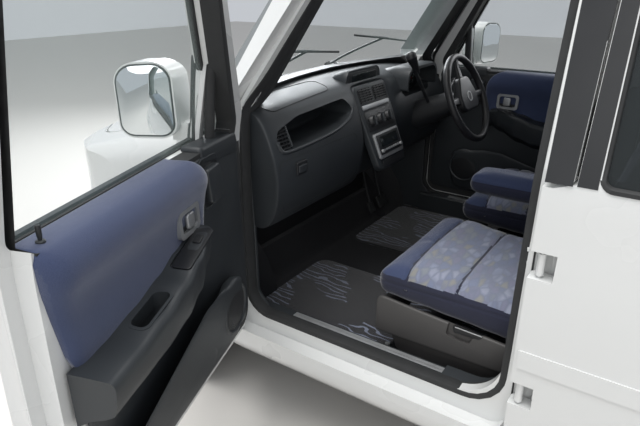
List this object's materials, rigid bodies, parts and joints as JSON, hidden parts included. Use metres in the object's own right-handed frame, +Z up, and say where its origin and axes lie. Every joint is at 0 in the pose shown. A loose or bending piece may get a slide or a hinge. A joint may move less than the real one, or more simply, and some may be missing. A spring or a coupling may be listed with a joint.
{
  "type": "kei car",
  "caption": "Tall wagon kei car with its left front door open, hollow cabin, seats, dashboard, opening doors and lids, steering and rolling wheels.",
  "frame": {"origin": "on the ground, on the centre line, midway along the body's length", "axes": "+X to the car's left, +Y to the rear, +Z up"},
  "size_m": [2.3976, 3.3938, 1.68],
  "materials": {
    "paint": "gloss white paint",
    "black_plastic": "grained",
    "trim_plastic": "grained",
    "silver_plastic": "satin silver",
    "skirt_plastic": "grained",
    "seat_cloth": "woven navy cloth",
    "floor_carpet": "carpet",
    "seal_rubber": "matt",
    "window_glass": "clear green tint",
    "dark_glass": "dark tint",
    "lamp_glass": "clear",
    "lamp_red": "clear red",
    "steel_frame": "black paint",
    "engine_metal": "cast",
    "tyre_rubber": "matt black",
    "wheel_steel": "silver paint"
  },
  "bodies": {
    "shell": {"body_side_left": "paint", "body_side_right": "paint", "roof": "paint", "scuttle": "black_plastic", "fenders": "paint", "front_bumper": "paint", "grille": "black_plastic", "rear_bumper": "paint", "headlamps": "lamp_glass", "tail_lamps": "lamp_red", "windscreen": "window_glass", "quarter_windows": "dark_glass", "floor_pan": "floor_carpet", "front_frame": "steel_frame", "dashboard": "trim_plastic", "centre_panel": "silver_plastic", "steering_column": "black_plastic", "seat_cushions": "seat_cloth", "seat_backs": "seat_cloth", "headrests": "seat_cloth", "seat_bases": "skirt_plastic", "armrest": "seat_cloth", "rear_seat": "seat_cloth", "door_seals": "seal_rubber", "door_hinges": "steel_frame", "engine": "engine_metal", "front_suspension": "steel_frame", "rear_axle": "steel_frame"},
    "front_left_door": {"front_door_left": "paint", "front_door_left_glass": "window_glass", "front_door_left_trim": "trim_plastic", "mirror_left": "paint"},
    "front_right_door": {"front_door_right": "paint", "front_door_right_glass": "window_glass", "front_door_right_trim": "trim_plastic", "mirror_right": "paint"},
    "rear_left_door": {"rear_door_left": "paint", "rear_door_left_glass": "dark_glass"},
    "rear_right_door": {"rear_door_right": "paint", "rear_door_right_glass": "dark_glass"},
    "bonnet_lid": {"bonnet": "paint"},
    "tail_door": {"tailgate": "paint", "tailgate_glass": "dark_glass"},
    "hand_wheel": {"steering_wheel": "black_plastic"},
    "left_knuckle": {"knuckle_left": "steel_frame"},
    "right_knuckle": {"knuckle_right": "steel_frame"},
    "front_left_wheel": {"tyre_front_left": "tyre_rubber", "rim_front_left": "wheel_steel"},
    "front_right_wheel": {"tyre_front_right": "tyre_rubber", "rim_front_right": "wheel_steel"},
    "rear_left_wheel": {"tyre_rear_left": "tyre_rubber", "rim_rear_left": "wheel_steel"},
    "rear_right_wheel": {"tyre_rear_right": "tyre_rubber", "rim_rear_right": "wheel_steel"}
  },
  "joints": [
    {"name": "front_left_door_hinge", "type": "hinge", "parent": "shell", "child": "front_left_door", "pos_m": [0.716, -0.732, 0.65], "axis": [0, 0, 1], "range_deg": [0, 70.5]},
    {"name": "front_right_door_hinge", "type": "hinge", "parent": "shell", "child": "front_right_door", "pos_m": [-0.716, -0.732, 0.65], "axis": [0, 0, 1], "range_deg": [0, 70]},
    {"name": "rear_left_door_hinge", "type": "hinge", "parent": "shell", "child": "rear_left_door", "pos_m": [0.716, 0.154, 0.65], "axis": [0, 0, -1], "range_deg": [0, 70]},
    {"name": "rear_right_door_hinge", "type": "hinge", "parent": "shell", "child": "rear_right_door", "pos_m": [-0.716, 0.154, 0.65], "axis": [0, 0, 1], "range_deg": [0, 70]},
    {"name": "bonnet_hinge", "type": "hinge", "parent": "shell", "child": "bonnet_lid", "pos_m": [0, -0.945, 1.04], "axis": [-1, 0, 0], "range_deg": [0, 60]},
    {"name": "tailgate_hinge", "type": "hinge", "parent": "shell", "child": "tail_door", "pos_m": [0, 1.556, 1.642], "axis": [1, 0, 0], "range_deg": [0, 85]},
    {"name": "steer_left", "type": "hinge", "parent": "shell", "child": "left_knuckle", "pos_m": [0.611, -1.097, 0.26], "axis": [0, 0, 1], "range_deg": [-34, 34]},
    {"name": "steer_right", "type": "hinge", "parent": "shell", "child": "right_knuckle", "pos_m": [-0.611, -1.097, 0.26], "axis": [0, 0, 1], "range_deg": [-34, 34]},
    {"name": "steering_wheel_turn", "type": "hinge", "parent": "shell", "child": "hand_wheel", "pos_m": [-0.337, -0.41, 0.932], "axis": [0, 0.9135, 0.4067], "range_deg": [-545, 545]},
    {"name": "front_left_wheel_roll", "type": "hinge", "parent": "left_knuckle", "child": "front_left_wheel", "pos_m": [0.65, -1.097, 0.26], "axis": [1, 0, 0], "continuous": true},
    {"name": "front_right_wheel_roll", "type": "hinge", "parent": "right_knuckle", "child": "front_right_wheel", "pos_m": [-0.65, -1.097, 0.26], "axis": [1, 0, 0], "continuous": true},
    {"name": "rear_left_wheel_roll", "type": "hinge", "parent": "shell", "child": "rear_left_wheel", "pos_m": [0.65, 1.243, 0.26], "axis": [1, 0, 0], "continuous": true},
    {"name": "rear_right_wheel_roll", "type": "hinge", "parent": "shell", "child": "rear_right_wheel", "pos_m": [-0.65, 1.243, 0.26], "axis": [1, 0, 0], "continuous": true}
  ],
  "couplings": [
    {"joint": "steer_right", "follows": "steer_left", "ratio": 1},
    {"joint": "steering_wheel_turn", "follows": "steer_left", "ratio": 16}
  ]
}
